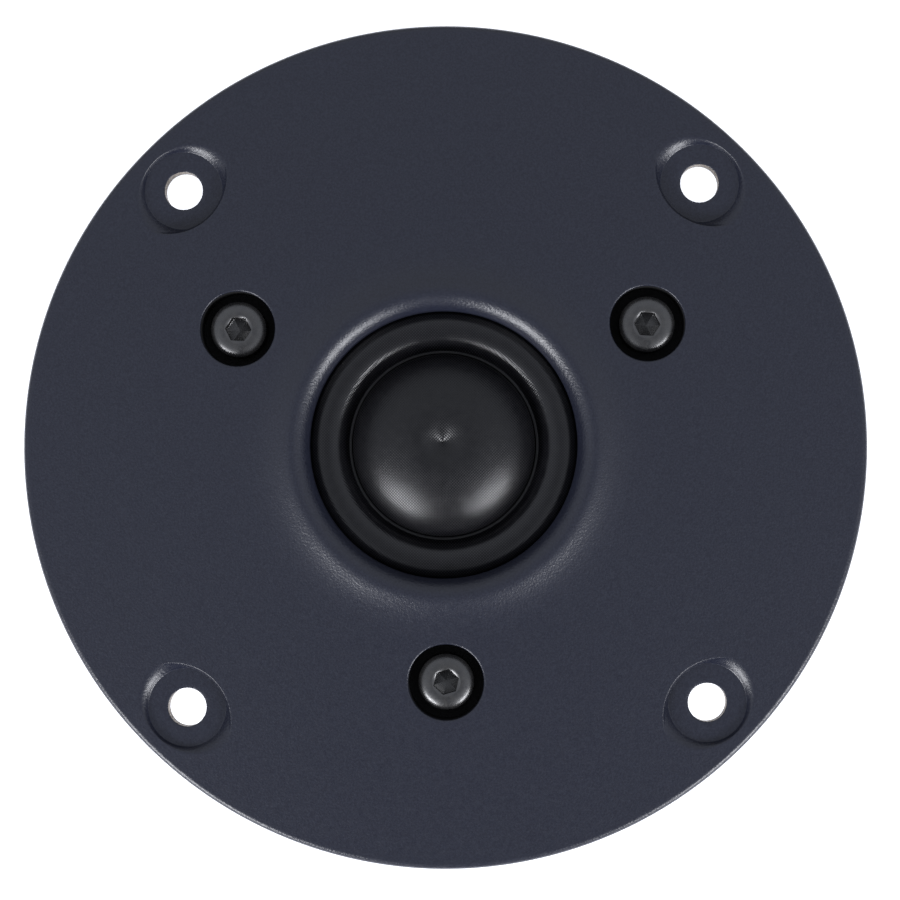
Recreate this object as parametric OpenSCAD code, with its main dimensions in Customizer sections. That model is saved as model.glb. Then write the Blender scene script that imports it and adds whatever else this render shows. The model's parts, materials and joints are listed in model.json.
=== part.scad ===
// Soft-dome tweeter with a round metal faceplate, a ferrite motor and a rear chamber.
// All sizes are in millimetres. The dome faces +Z, and the origin is the centre of the
// flange's rear face, the plane that closes on a baffle. +Y points to the terminals.

/* [Faceplate] */
// Outside diameter of the faceplate
plate_d = 110; // [109:1:114]
// Height of the raised lip around the throat, above the flange's rear face
crest_z = 5.8; // [5.7:0.1:6.4]
// How far the lip stands above the sloping face
ridge_h = 1; // [0.6:0.1:1.2]
// Slope of the front face in degrees, rising from the rim to the throat
face_slope = 3; // [1:0.5:4]
// Diameter of the throat opening
throat_d = 34.8; // [34.4:0.1:35]
// Radius of the rounded front edge of the rim
edge_round = 0.8; // [0.4:0.2:1.2]

/* [Fixing holes] */
// Pitch circle diameter of the four mounting holes
mount_pcd = 95.5; // [94:0.5:96.5]
// Diameter of each mounting hole
mount_hole_d = 5; // [4:0.1:5.5]
// Metal left under the head of each mounting screw
recess_web = 2.4; // [2:0.1:2.6]
// Pitch circle diameter of the three clamp screws
clamp_pcd = 61.5; // [61:0.1:61.8]
// Diameter of each clamp screw's counterbore
counterbore_d = 9.8; // [8.4:0.2:10]

/* [Diaphragm] */
// Height of the dome above its glued edge
dome_h = 6.65; // [5.5:0.05:7.5]
// Depth of the dimple at the dome's centre
dimple_depth = 1.5; // [0:0.1:1.8]
// Height of the surround's half roll
roll_h = 2.2; // [1.6:0.1:2.2]
// Thickness of the coated fabric
cloth_t = 0.25; // [0.15:0.05:0.25]

/* [Motor] */
// Diameter of the ferrite magnet
magnet_d = 72; // [72:1:74]
// Thickness of the magnet
magnet_t = 15; // [10:1:20]
// Thickness of the steel top plate
top_plate_t = 4; // [4:0.5:6]
// Thickness of the steel back plate
back_plate_t = 5; // [5:0.5:7]
// Diameter of the vent through the pole piece
vent_d = 8; // [5:0.5:9]

/* [Rear chamber] */
// Diameter of the rear chamber
chamber_d = 62; // [61:1:66]
// Depth of the rear chamber, from its rim to its rear face
chamber_depth = 16.7; // [14:0.1:24]
// Wall thickness of the rear chamber
chamber_wall = 2; // [1.6:0.2:2]

/* [Terminals] */
// Width of the positive push-on tab
positive_tab_w = 4.8; // [4.8, 6.3]
// Width of the negative push-on tab
negative_tab_w = 2.8; // [2.8, 4.8]
// Length of each tab below its foot
tab_length = 10.7; // [8:0.1:14]

/* [Hidden] */
$fn = 96;
eps = 0.01;
over = 1; // how far a cutter runs past the faces it cuts

// Heights, from the front of the object to its back
clamp_z = 1.2; // the faceplate's ledge presses the surround's edge here
carrier_top = clamp_z - cloth_t;
web_z = -0.5; // floor of the clamp screws' counterbores
hub_z = -2.5; // rear of the faceplate's hub, on the top plate
magnet_top = hub_z - top_plate_t;
magnet_bottom = magnet_top - magnet_t;
back_z = magnet_bottom - back_plate_t;
chamber_gasket_t = 0.8;
chamber_rim = back_z - chamber_gasket_t;
chamber_bottom = chamber_rim - chamber_depth;

// Faceplate
plate_r = plate_d / 2;
throat_r = throat_d / 2;
crest_r = 19.85; // radius of the lip's highest circle
crest_round = 2;
crest_turn = 25; // slope at which the crest's rounding passes into the flare
flare_r = 3.1; // the throat's wall flares on this larger radius
tip_round = 0.3;
ridge_fall = 1.25; // how quickly the lip blends into the face
lip_low = crest_z - 2.95; // lowest point of the lip, just above the roll
relief_r = 18.45;
relief_z = 2;
pocket_r = 24.3;
hub_r = magnet_d / 2 + 1;
rear_chamfer = 0.4;
face_points = 20;
arc_points = 10;
clamp_angles = [30, 150, 270];
mount_angles = [45, 135, 225, 315];
recess_r = 5.1;
recess_widen = 0.2; // growth in radius per unit of height
recess_stretch = 1.6; // growth along the rim, each way, per unit of height
flat_side_r = 7.2; // the side towards the throat is flatter, as part of a larger circle
flat_side_at = 2.5; // how far outside the hole that circle's centre lies
clamp_hole_r = 2.2;

// Diaphragm and voice coil
dome_r = 11.95;
dimple_spread = 1.7;
bond_out = 12.9; // outside radius of the glued edge under dome and surround
lip_in = 12.05;
roll_in = 12.5;
roll_out = 18.1;
flange_out = 20.6;
bond_z = carrier_top; // the dome's flat edge carries the surround's lip at this height
former_in = 12.6;
former_t = 0.15;
coil_t = 0.3;
coil_h = 2.6;
gap_z = hub_z - top_plate_t / 2;
gap_out = 13.45;

// Diaphragm carrier
carrier_in = 14.5;
carrier_out = 24;
tongue_w = 18;
tongue_end = 41;
tongue_t = 2;
slot_top = 1; // roof of the faceplate's slot over the tongue
terminal_x = 5;
tab_in = magnet_d / 2 - 0.1;
rivet_y = tab_in + 1.7;
rivet_r = 0.9;
rivet_head_r = 1.5;
rivet_head_t = 0.5;
washer_t = 0.4;
tab_t = 0.8;
tab_out = 40.2;
lead_r = 0.2;
pin_r = 1.25;
pin_at = 21.5;

// Motor
pole_r = 11.9;
spigot_r = 9;
pole_top = -2.4;
cap_t = 0.4;
cap_low = -9;
magnet_in = 16;
steel_r = magnet_d / 2 - 0.5;
steel_chamfer = 0.5;

// Fasteners
clamp_head_r = 3.6;
clamp_head_h = 4;
clamp_crown = 1.2; // height of the head's rounded top
clamp_shank_r = 1.95;
clamp_thread_r = 2;
clamp_tip_z = web_z - 5.8;
hex_flats = 3;
chamber_pcd = 48;
chamber_angles = [90, 210, 330];
boss_r = 4.2;
sink_r = 3.1;
sink_depth = 2.6;
chamber_head_r = 2.8;
chamber_head_h = 2.2;
chamber_shank_r = 1.45;
chamber_thread_r = 1.5;
thread_depth = 4;

// Height of a curve that swells from 1 at u = 0 and dies away smoothly
function swell(u) = (1 + u) * exp(-u);

// Height of the faceplate's front at radius r, outside the lip's crest
function face_z(r) =
    crest_z - ridge_h + (crest_r - r) * tan(face_slope) + ridge_h * swell((r - crest_r) / ridge_fall);

// Points on a circle, with angles measured from +Z towards +R
function arc(cr, cz, radius, from, to, n) =
    [for (i = [0:n]) let (a = from + (to - from) * i / n) [cr + radius * sin(a), cz + radius * cos(a)]];

// Depth of the dimple at radius r: a soft hollow with a pointed bottom
function dimple(r) =
    dimple_depth * (0.7 * exp(-pow(r / dimple_spread, 2)) + 0.3 * exp(-4 * r / dimple_spread));

// Height of the dome's outer surface above its edge: half an ellipse less the dimple
function dome_z(r) = dome_h * sqrt(max(0, 1 - pow(r / dome_r, 2))) - dimple(r);

// A roll of height h between two radii, as one circular arc
function roll_arc(h, from_r, to_r, z, n) =
    let (half = (to_r - from_r) / 2, radius = (half * half + h * h) / (2 * h), a = asin(half / radius))
    arc((from_r + to_r) / 2, z + h - radius, radius, -a, a, n);

module turned(points) {
    rotate_extrude() polygon(points);
}

module ring(inner, outer, from_z, to_z) {
    translate([0, 0, from_z])
        difference() {
            cylinder(r = outer, h = to_z - from_z);
            translate([0, 0, -over]) cylinder(r = inner, h = to_z - from_z + 2 * over);
        }
}

module disc(radius, from_z, to_z) {
    translate([0, 0, from_z]) cylinder(r = radius, h = to_z - from_z);
}

module around(angles, radius) {
    for (a = angles)
        rotate([0, 0, a]) translate([radius, 0, 0]) children();
}

// A bar from y0 to y1, centred on X, with its two far corners rounded
module tongue_bar(w, y0, y1, z0, z1, corner) {
    translate([-w / 2, y0, z0]) cube([w, y1 - y0 - corner, z1 - z0]);
    translate([-w / 2 + corner, y0, z0]) cube([w - 2 * corner, y1 - y0, z1 - z0]);
    for (s = [-1, 1])
        translate([s * (w / 2 - corner), y1 - corner, z0]) cylinder(r = corner, h = z1 - z0);
}

// A saw-tooth outline that stands for a screw thread, from the top down
function thread_points(major, minor, from_z, to_z, pitch) =
    let (n = floor((from_z - to_z) / pitch))
    [for (i = [0:n - 1]) each [[major, from_z - i * pitch], [minor, from_z - (i + 0.5) * pitch]]];

// ---- Faceplate ----

module faceplate_profile() {
    arc_r = crest_r - crest_round * sin(face_slope);
    arc_z = face_z(crest_r) - crest_round * cos(face_slope);
    centre_r = arc_r + (flare_r - crest_round) * sin(crest_turn);
    centre_z = arc_z - (flare_r - crest_round) * cos(crest_turn);
    // the flare ends where the tip's rounding meets it on the same slope
    tip_angle = asin((centre_r - throat_r - tip_round) / (flare_r - tip_round));
    tip_z = centre_z + (flare_r - tip_round) * cos(tip_angle);
    rim_z = face_z(plate_r - edge_round) - edge_round;
    face_step = (plate_r - edge_round - crest_r) / face_points;
    polygon(concat(
        [
            [throat_r, lip_low],
            [relief_r, relief_z],
            [relief_r, clamp_z],
            [pocket_r, clamp_z],
            [pocket_r, hub_z],
            [hub_r - rear_chamfer, hub_z],
            [hub_r, hub_z + rear_chamfer],
            [hub_r, 0],
            [plate_r - rear_chamfer, 0],
            [plate_r, rear_chamfer]
        ],
        arc(plate_r - edge_round, rim_z, edge_round, 90, 0, arc_points),
        // steps shorten towards the crest, where the face curves most
        [for (i = [face_points - 1:-1:1]) let (r = crest_r + face_step * i * i / face_points) [r, face_z(r)]],
        arc(arc_r, arc_z, crest_round, face_slope, -crest_turn, arc_points),
        [for (p = arc(centre_r, centre_z, flare_r, -crest_turn, -tip_angle, arc_points)) if (p[0] < arc_r) p],
        arc(throat_r + tip_round, tip_z, tip_round, -tip_angle, -90, 4)
    ));
}

// Flat-floored recess for one mounting screw, steep towards rim and throat, sloping along the rim
module mount_recess() {
    rise = crest_z - recess_web;
    translate([mount_pcd / 2, 0, 0]) {
        intersection() {
            hull() {
                translate([0, 0, recess_web]) cylinder(r = recess_r, h = eps, $fn = 64);
                for (s = [-1, 1])
                    translate([0, s * rise * recess_stretch, crest_z])
                        cylinder(r = recess_r + rise * recess_widen, h = eps, $fn = 64);
            }
            translate([flat_side_at, 0, recess_web])
                cylinder(r1 = flat_side_r, r2 = flat_side_r + rise * recess_widen, h = rise, $fn = 128);
        }
        translate([0, 0, -over]) cylinder(d = mount_hole_d, h = plate_d / 4);
    }
}

module faceplate() {
    color([0.2, 0.2, 0.24])
        difference() {
            rotate_extrude() faceplate_profile();
            for (a = mount_angles)
                rotate([0, 0, a]) mount_recess();
            around(clamp_angles, clamp_pcd / 2) {
                disc(counterbore_d / 2, web_z, crest_z + over);
                disc(clamp_hole_r, hub_z - over, crest_z);
            }
            // slot through the hub wall for the carrier's tongue
            translate([-tongue_w / 2 - 0.2, carrier_out - 2, hub_z - over])
                cube([tongue_w + 0.4, tongue_end + 0.3 - (carrier_out - 2), slot_top - hub_z + over]);
        }
}

module baffle_gasket() {
    color([0.09, 0.09, 0.09])
        difference() {
            ring(42.5, plate_r - 1.5, -1, 0);
            around(mount_angles, mount_pcd / 2) disc(mount_hole_d / 2 + 0.5, -1 - over, over);
        }
}

module hex_socket(flats, depth, top_z) {
    translate([0, 0, top_z - depth]) cylinder(d = flats / cos(30), h = depth + over, $fn = 6);
    translate([0, 0, top_z - 0.25]) cylinder(d1 = flats, d2 = flats / cos(30) + 0.6, h = 0.35);
}

// How far a rounded screw head has dropped at share t of its radius
function crown(t) = 1 - pow(1 - pow(t, 2.6), 1 / 2.6);

module clamp_screw() {
    head_top = web_z + clamp_head_h;
    n = 16;
    difference() {
        turned(concat(
            [for (i = [0:n]) let (t = sin(90 * i / n)) [clamp_head_r * t, head_top - clamp_crown * crown(t)]],
            [[clamp_head_r, web_z + 0.2], [clamp_head_r - 0.2, web_z], [clamp_shank_r, web_z]],
            thread_points(clamp_shank_r, 1.6, web_z - 0.6, clamp_tip_z + 0.5, 0.7),
            [[1.4, clamp_tip_z], [0, clamp_tip_z]]
        ));
        hex_socket(hex_flats, 2.2, head_top);
    }
}

module clamp_screws() {
    hex_turn = [26, -34, -14]; // each socket stopped at its own angle when it was tightened
    color([0.12, 0.12, 0.12])
        for (i = [0:2])
            rotate([0, 0, clamp_angles[i]]) translate([clamp_pcd / 2, 0, 0])
                rotate([0, 0, hex_turn[i]]) clamp_screw();
}

// ---- Diaphragm ----

module dome() {
    n = 36;
    inner_r = dome_r - cloth_t;
    // sin() spaces the points closely where the dome turns down to its edge
    color([0.1, 0.1, 0.11])
        turned(concat(
            [for (i = [0:n - 1]) let (r = dome_r * sin(90 * i / n)) [r, bond_z + dome_z(r)]],
            [[dome_r, bond_z], [bond_out, bond_z], [bond_out, bond_z - cloth_t], [inner_r, bond_z - cloth_t]],
            [for (i = [n - 2:-1:0]) let (r = inner_r * sin(90 * i / n)) [r, bond_z - cloth_t + dome_z(r)]]
        ));
}

module surround() {
    n = 20;
    color([0.11, 0.11, 0.12])
        turned(concat(
            [[lip_in, bond_z], [lip_in, bond_z + cloth_t]],
            roll_arc(roll_h, roll_in, roll_out, bond_z + cloth_t, n),
            [[flange_out, clamp_z], [flange_out, carrier_top]],
            [for (p = roll_arc(roll_h - 0.02, roll_in + cloth_t, roll_out - cloth_t, bond_z, n)) each
                [[roll_in + roll_out - p[0], p[1]]]]
        ));
}

module diaphragm_carrier() {
    groove_w = 1;
    groove_z = 0.3;
    color([0.13, 0.13, 0.13])
        difference() {
            union() {
                ring(carrier_in, carrier_out, hub_z, carrier_top);
                difference() {
                    tongue_bar(tongue_w, carrier_out - 1.5, tongue_end, hub_z, hub_z + tongue_t, 2);
                    disc(carrier_in + 1, hub_z - over, carrier_top);
                }
            }
            for (s = [-1, 1]) {
                translate([s * terminal_x - groove_w / 2, carrier_in - 3, groove_z])
                    cube([groove_w, carrier_out - carrier_in + 4, carrier_top]);
                translate([s * terminal_x, rivet_y, hub_z - over])
                    cylinder(r = rivet_r, h = tongue_t + 2 * over);
            }
            around([0, 180], pin_at) disc(pin_r, hub_z - over, web_z - 0.3);
        }
}

module locating_pins() {
    color([0.7, 0.7, 0.72])
        around([0, 180], pin_at) disc(pin_r, hub_z - 2, web_z - 0.3);
}

// ---- Voice coil ----

module coil_former() {
    color([0.75, 0.76, 0.78])
        ring(former_in, former_in + former_t, gap_z - coil_h / 2 - 0.3, bond_z - cloth_t);
}

module voice_coil() {
    color([0.72, 0.4, 0.2])
        ring(former_in + former_t, former_in + former_t + coil_t, gap_z - coil_h / 2, gap_z + coil_h / 2);
}

module coil_collar() {
    r = former_in + former_t;
    color([0.72, 0.5, 0.22]) ring(r, r + 0.12, gap_z + coil_h / 2 + 0.2, bond_z - cloth_t - 0.3);
}

// ---- Lead wires and terminals ----

// Where each lead runs, for the positive side: up from the coil, along its groove and to its rivet
lead_route = [
    [4.6, 12.25, -1.2], [4.7, 12.6, -0.6], [4.8, 13, 0.1], [4.9, 13.5, 0.6], [5, 14.3, 0.85],
    [5, 15.4, 0.85], [5, 17, 0.7], [5, 20, 0.65], [5, 23.6, 0.65], [5, 24.6, 0.5],
    [5, 25.8, 0.05], [5, 27, -0.22], [5, 30, -0.27], [5, 33, -0.27], [5, rivet_y - 1.55, -0.25]
];

function unit(v) = v / norm(v);

// Direction of travel at point i of a route
function heading(route, i) =
    unit(route[min(i + 1, len(route) - 1)] - route[max(i - 1, 0)]);

// A closed tube of k sides along a route that never turns straight along X
module tube(route, radius, k) {
    n = len(route);
    points = [
        for (i = [0:n - 1])
            let (t = heading(route, i), u = unit(cross([1, 0, 0], t)), v = cross(t, u))
            for (j = [0:k - 1])
                route[i] + radius * (cos(360 * j / k) * v + sin(360 * j / k) * u)
    ];
    sides = [
        for (i = [0:n - 2])
            for (j = [0:k - 1])
                let (a = i * k + j, b = i * k + (j + 1) % k)
                [a, b, b + k, a + k]
    ];
    first = [for (j = [k - 1:-1:0]) j];
    last = [for (j = [0:k - 1]) (n - 1) * k + j];
    polyhedron(points, concat([first], sides, [last]), convexity = 6);
}

module lead_wire_positive() {
    color([0.75, 0.55, 0.35]) tube(lead_route, lead_r, 8);
}

module lead_wire_negative() {
    color([0.75, 0.55, 0.35]) mirror([1, 0, 0]) tube(lead_route, lead_r, 8);
}

// Side outline of a tab: a foot under the tongue, a bend and a blade that points to the rear
module tab_outline(top_z) {
    bend = 1.2;
    polygon(concat(
        [
            [tab_in, top_z],
            [tab_in, top_z - tab_t],
            [tab_out - bend, top_z - tab_t]
        ],
        arc(tab_out - bend, top_z - bend, bend - tab_t, 0, 90, 4),
        [
            [tab_out - tab_t, top_z - tab_length + 0.6],
            [tab_out - tab_t * 0.7, top_z - tab_length],
            [tab_out - tab_t * 0.3, top_z - tab_length],
            [tab_out, top_z - tab_length + 0.6]
        ],
        arc(tab_out - bend, top_z - bend, bend, 90, 0, 6)
    ));
}

module tab(w, top_z) {
    nose = 1; // chamfer on the blade's two corners
    difference() {
        rotate([90, 0, 90]) translate([0, 0, -w / 2]) linear_extrude(w) tab_outline(top_z);
        translate([0, rivet_y, top_z - tab_t - over]) cylinder(r = rivet_r, h = tab_t + 2 * over);
        translate([0, tab_out + over, top_z - tab_length + 3.6]) rotate([90, 0, 0])
            cylinder(r = 0.75, h = tab_t + 2 * over);
        for (s = [-1, 1])
            translate([s * w / 2, tab_out, top_z - tab_length]) rotate([0, 45, 0])
                cube([nose, 4 * tab_t, nose], center = true);
    }
}

module terminal_positive() {
    color([0.8, 0.78, 0.72]) translate([terminal_x, 0, 0]) tab(positive_tab_w, hub_z - washer_t);
}

module terminal_negative() {
    color([0.8, 0.78, 0.72]) translate([-terminal_x, 0, 0]) tab(negative_tab_w, hub_z);
}

module positive_washer() {
    color([0.7, 0.1, 0.1])
        translate([terminal_x, rivet_y, 0]) ring(rivet_r, 1.7, hub_z - washer_t, hub_z);
}

// A tubular rivet whose rear head closes on a tab's foot
module rivet(foot_z) {
    low = foot_z - tab_t;
    top = hub_z + tongue_t;
    difference() {
        union() {
            disc(rivet_r, low, top);
            disc(rivet_head_r, top, top + rivet_head_t);
            disc(rivet_head_r, low - rivet_head_t, low);
        }
        disc(rivet_r / 2, low - rivet_head_t - over, low + 0.6);
    }
}

module terminal_rivets() {
    color([0.8, 0.68, 0.38]) {
        translate([terminal_x, rivet_y, 0]) rivet(hub_z - washer_t);
        translate([-terminal_x, rivet_y, 0]) rivet(hub_z);
    }
}

// ---- Motor ----

// A plate or ring with both outer edges chamfered
module chamfered_ring(inner, outer, from_z, to_z, chamfer) {
    turned([
        [inner, from_z],
        [outer - chamfer, from_z],
        [outer, from_z + chamfer],
        [outer, to_z - chamfer],
        [outer - chamfer, to_z],
        [inner, to_z]
    ]);
}

module top_plate() {
    color([0.62, 0.62, 0.6])
        difference() {
            chamfered_ring(gap_out, steel_r, magnet_top, hub_z, steel_chamfer);
            around(clamp_angles, clamp_pcd / 2) disc(clamp_thread_r, magnet_top - over, hub_z + over);
            around([0, 180], pin_at) disc(pin_r, hub_z - 2, hub_z + over);
        }
}

module magnet() {
    color([0.16, 0.16, 0.17])
        chamfered_ring(magnet_in, magnet_d / 2, magnet_bottom, magnet_top, 1);
}

module back_plate() {
    color([0.62, 0.62, 0.6])
        difference() {
            chamfered_ring(spigot_r, steel_r, back_z, magnet_bottom, steel_chamfer);
            around(chamber_angles, chamber_pcd / 2)
                disc(chamber_thread_r, back_z - over, back_z + thread_depth);
        }
}

module pole_piece() {
    vent_r = vent_d / 2;
    color([0.55, 0.55, 0.54])
        turned([
            [vent_r, back_z],
            [spigot_r, back_z],
            [spigot_r, magnet_bottom],
            [pole_r, magnet_bottom],
            [pole_r, pole_top],
            [vent_r + 0.6, pole_top],
            [vent_r, pole_top - 0.6]
        ]);
}

module copper_cap() {
    cap_in = vent_d / 2 + 0.6;
    color([0.78, 0.42, 0.26])
        turned([
            [cap_in, pole_top],
            [pole_r, pole_top],
            [pole_r, cap_low],
            [pole_r + cap_t, cap_low],
            [pole_r + cap_t, pole_top + cap_t - 0.2],
            [pole_r + cap_t - 0.2, pole_top + cap_t],
            [cap_in, pole_top + cap_t]
        ]);
}

module pole_damping_ring() {
    top = pole_top + cap_t;
    color([0.25, 0.25, 0.26])
        turned([
            [5, top],
            [10.6, top],
            [10.6, top + 0.7],
            [9.8, top + 1.5],
            [5.8, top + 1.5],
            [5, top + 0.9]
        ]);
}

module vent_damper() {
    color([0.3, 0.3, 0.32]) disc(vent_d / 2, back_z + 3, pole_top - 6);
}

// ---- Rear chamber ----

module rear_chamber() {
    r = chamber_d / 2;
    corner = 3;
    floor_t = 2.5;
    color([0.07, 0.07, 0.07])
        difference() {
            union() {
                turned(concat(
                    [[0, chamber_bottom + floor_t], [0, chamber_bottom + 0.4], [17, chamber_bottom + 0.4]],
                    [[17.4, chamber_bottom]],
                    arc(r - corner, chamber_bottom + corner, corner, 180, 90, arc_points),
                    [
                        [r, chamber_rim],
                        [r - chamber_wall, chamber_rim],
                        [r - chamber_wall, chamber_bottom + floor_t + 1],
                        [r - chamber_wall - 1, chamber_bottom + floor_t]
                    ]
                ));
                around(chamber_angles, chamber_pcd / 2) {
                    disc(boss_r, chamber_bottom + 1, back_z);
                    translate([0, -0.8, chamber_bottom + 1])
                        cube([r - chamber_pcd / 2 - chamber_wall / 2, 1.6, chamber_depth - 2]);
                }
            }
            around(chamber_angles, chamber_pcd / 2) {
                disc(sink_r, chamber_bottom - over, chamber_bottom + sink_depth);
                disc(chamber_thread_r + 0.2, chamber_bottom, back_z + over);
            }
        }
}

module chamber_gasket() {
    r = chamber_d / 2;
    color([0.12, 0.12, 0.12]) ring(r - chamber_wall - 0.5, r - 0.2, chamber_rim, back_z);
}

module chamber_wadding() {
    color([0.8, 0.8, 0.76])
        difference() {
            disc(chamber_d / 2 - chamber_wall - 1.2, chamber_bottom + 2.6, back_z - 3.6);
            around(chamber_angles, chamber_pcd / 2) disc(boss_r + 0.5, chamber_bottom, back_z);
            // the ribs behind the bosses pass through it
            around(chamber_angles, chamber_pcd / 2)
                translate([0, -1.2, chamber_bottom]) cube([chamber_d / 2, 2.4, chamber_depth]);
        }
}

module chamber_screw() {
    seat = chamber_bottom + sink_depth;
    tip = back_z + thread_depth - 0.5;
    head_low = seat - chamber_head_h;
    difference() {
        turned(concat(
            [[0, head_low]],
            arc(chamber_head_r - 1.2, head_low + 1.2, 1.2, 180, 90, 6),
            [[chamber_head_r, seat], [chamber_shank_r, seat], [chamber_shank_r, back_z - 2]],
            [for (i = [0:9]) [i % 2 == 0 ? 1.15 : chamber_shank_r, back_z - 1.75 + i * 0.5]],
            [[0.9, tip], [0, tip]]
        ));
        for (a = [0, 90])
            rotate([0, 0, a]) translate([-1.5, -0.35, head_low - over]) cube([3, 0.7, over + 1.3]);
    }
}

module chamber_screws() {
    color([0.15, 0.15, 0.15])
        around(chamber_angles, chamber_pcd / 2) rotate([0, 0, 20]) chamber_screw();
}

faceplate();
baffle_gasket();
clamp_screws();
dome();
surround();
diaphragm_carrier();
locating_pins();
coil_former();
voice_coil();
coil_collar();
lead_wire_positive();
lead_wire_negative();
terminal_positive();
terminal_negative();
positive_washer();
terminal_rivets();
top_plate();
magnet();
back_plate();
pole_piece();
copper_cap();
pole_damping_ring();
vent_damper();
rear_chamber();
chamber_gasket();
chamber_wadding();
chamber_screws();
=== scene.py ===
import json
import math

import bmesh
import bpy
from mathutils import Matrix, Vector
from mathutils.geometry import delaunay_2d_cdt
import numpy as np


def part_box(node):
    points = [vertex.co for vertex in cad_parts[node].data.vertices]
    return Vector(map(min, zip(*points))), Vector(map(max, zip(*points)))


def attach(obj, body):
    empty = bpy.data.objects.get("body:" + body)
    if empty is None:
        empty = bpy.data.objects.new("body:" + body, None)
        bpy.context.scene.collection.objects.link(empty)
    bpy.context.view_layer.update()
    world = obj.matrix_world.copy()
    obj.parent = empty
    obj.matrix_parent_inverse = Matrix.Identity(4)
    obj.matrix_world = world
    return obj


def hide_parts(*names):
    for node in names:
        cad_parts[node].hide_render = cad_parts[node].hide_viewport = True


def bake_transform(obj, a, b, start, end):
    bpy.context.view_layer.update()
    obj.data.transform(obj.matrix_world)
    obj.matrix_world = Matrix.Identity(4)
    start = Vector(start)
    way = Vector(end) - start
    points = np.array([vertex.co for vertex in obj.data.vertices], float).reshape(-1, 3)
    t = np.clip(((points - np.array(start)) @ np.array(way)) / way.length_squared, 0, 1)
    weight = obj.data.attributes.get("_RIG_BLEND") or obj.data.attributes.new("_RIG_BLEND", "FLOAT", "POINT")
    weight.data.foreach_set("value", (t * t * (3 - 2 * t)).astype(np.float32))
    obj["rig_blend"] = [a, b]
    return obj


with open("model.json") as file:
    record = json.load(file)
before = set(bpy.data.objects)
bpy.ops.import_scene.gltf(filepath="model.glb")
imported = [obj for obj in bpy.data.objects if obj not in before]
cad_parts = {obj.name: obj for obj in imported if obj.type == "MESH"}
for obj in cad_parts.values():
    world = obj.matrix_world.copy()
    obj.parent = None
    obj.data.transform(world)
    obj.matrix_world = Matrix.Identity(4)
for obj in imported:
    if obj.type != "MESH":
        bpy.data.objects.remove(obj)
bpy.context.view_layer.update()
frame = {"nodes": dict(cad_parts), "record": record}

# Lengths in the mesh code are millimetres in the row frame, as in part.scad.
MM = 0.001
ROOT = "driver"
MOVING = "moving_assembly"


def box_mm(node):
    return [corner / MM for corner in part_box(node)]


# ---- Sizes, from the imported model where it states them, otherwise as part.scad has them ----

mounts = {m["name"]: m for m in frame["record"]["mounts"]}
hole_circle = mounts["mounting_holes"]["dims"]
MOUNT_R = hole_circle["pcd_mm"] / 2
HOLE_R = hole_circle["hole_r_mm"]
MOUNT_ANGLES = [math.radians(a) for a in (45, 135, 225, 315)]
CLAMP_ANGLES = [math.radians(a) for a in (30, 150, 270)]
CLAMP_R = 30.75

# Rim, face and lip
RIM_R = box_mm("faceplate")[1].x
CREST_Z = 5.8
CREST_R = 19.85
RIDGE_H = 1.0
RIDGE_FALL = 1.25
FACE_SLOPE = math.radians(3)
CREST_ROUND = 2.0
CREST_TURN = math.radians(25)
FLARE_R = 3.1
THROAT_R = 17.4
TIP_ROUND = 0.3
LIP_LOW = CREST_Z - 2.95
EDGE_ROUND = 0.8

# Where the cloth is clamped, and the hub behind the flange
CLAMP_Z = 1.2
CLOTH = 0.25
BOND_Z = CLAMP_Z - CLOTH
HUB_Z = box_mm("faceplate")[0].z
HUB_R = 37.0
POCKET_R = 24.3
RELIEF_R = 18.45
RELIEF_Z = 2.0
REAR_CHAMFER = 0.4
HOLE_CHAMFER = 0.15
SLOT_HALF = 9.2
SLOT_FROM = 22
SLOT_TO = 41.3
SLOT_TOP = 1.0

# Counterbores and mounting recesses
COUNTERBORE_R = 4.9
COUNTERBORE_Z = -0.5
CLAMP_HOLE_R = 2.2
RECESS_Z = 2.4
RECESS_R = 5.1
RECESS_WIDEN = 0.2
RECESS_STRETCH = 1.6
FLAT_SIDE_R = 7.2
FLAT_SIDE_AT = 2.5
WALL_EASE = 0.2

# Points round a circle
EDGE_POINTS = 288
FACE_POINTS = 192
CLOTH_POINTS = 256
COIL_POINTS = 128
BORE_POINTS = 96
RECESS_POINTS = 120
HOLE_POINTS = 64
# How far inside a hole's circle a triangle outside it may be, because the edge is a polygon
CHORD_SAG = 0.01


# ---- Mesh helpers ----

def arc(cr, cz, radius, start, end, steps):
    """Points (r, z) on a circle, with angles in degrees from +Z towards +R."""
    angles = [math.radians(start + (end - start) * i / steps) for i in range(steps + 1)]
    return [(cr + radius * math.sin(a), cz + radius * math.cos(a)) for a in angles]


def on_circle(radius, angle):
    return radius * math.cos(angle), radius * math.sin(angle)


def turns(count):
    """Angles spaced evenly round a circle."""
    return [math.tau * k / count for k in range(count)]


def lathe(bm, outline, count, closed=True):
    """Spins (r, z) points round the Z axis."""
    rings = []
    for r, z in outline:
        spots = [(0, 0)] if r < 1e-6 else [on_circle(r, a) for a in turns(count)]
        rings.append([bm.verts.new(Vector((*spot, z)) * MM) for spot in spots])
    following = rings[1:] + rings[:1] if closed else rings[1:]
    for low, high in zip(rings, following):
        for k in range(count):
            after = (k + 1) % count
            # two corners fall together where a ring is one point on the axis
            corners = [low[k % len(low)], low[after % len(low)]]
            corners += [high[after % len(high)], high[k % len(high)]]
            bm.faces.new(dict.fromkeys(corners))


def wall(bm, top, bottom, index=0):
    """Joins two loops of points one to one."""
    upper = [bm.verts.new(Vector(p) * MM) for p in top]
    lower = [bm.verts.new(Vector(p) * MM) for p in bottom]
    for k in range(len(upper)):
        after = (k + 1) % len(upper)
        face = bm.faces.new([upper[k], upper[after], lower[after], lower[k]])
        face.material_index = index


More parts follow.
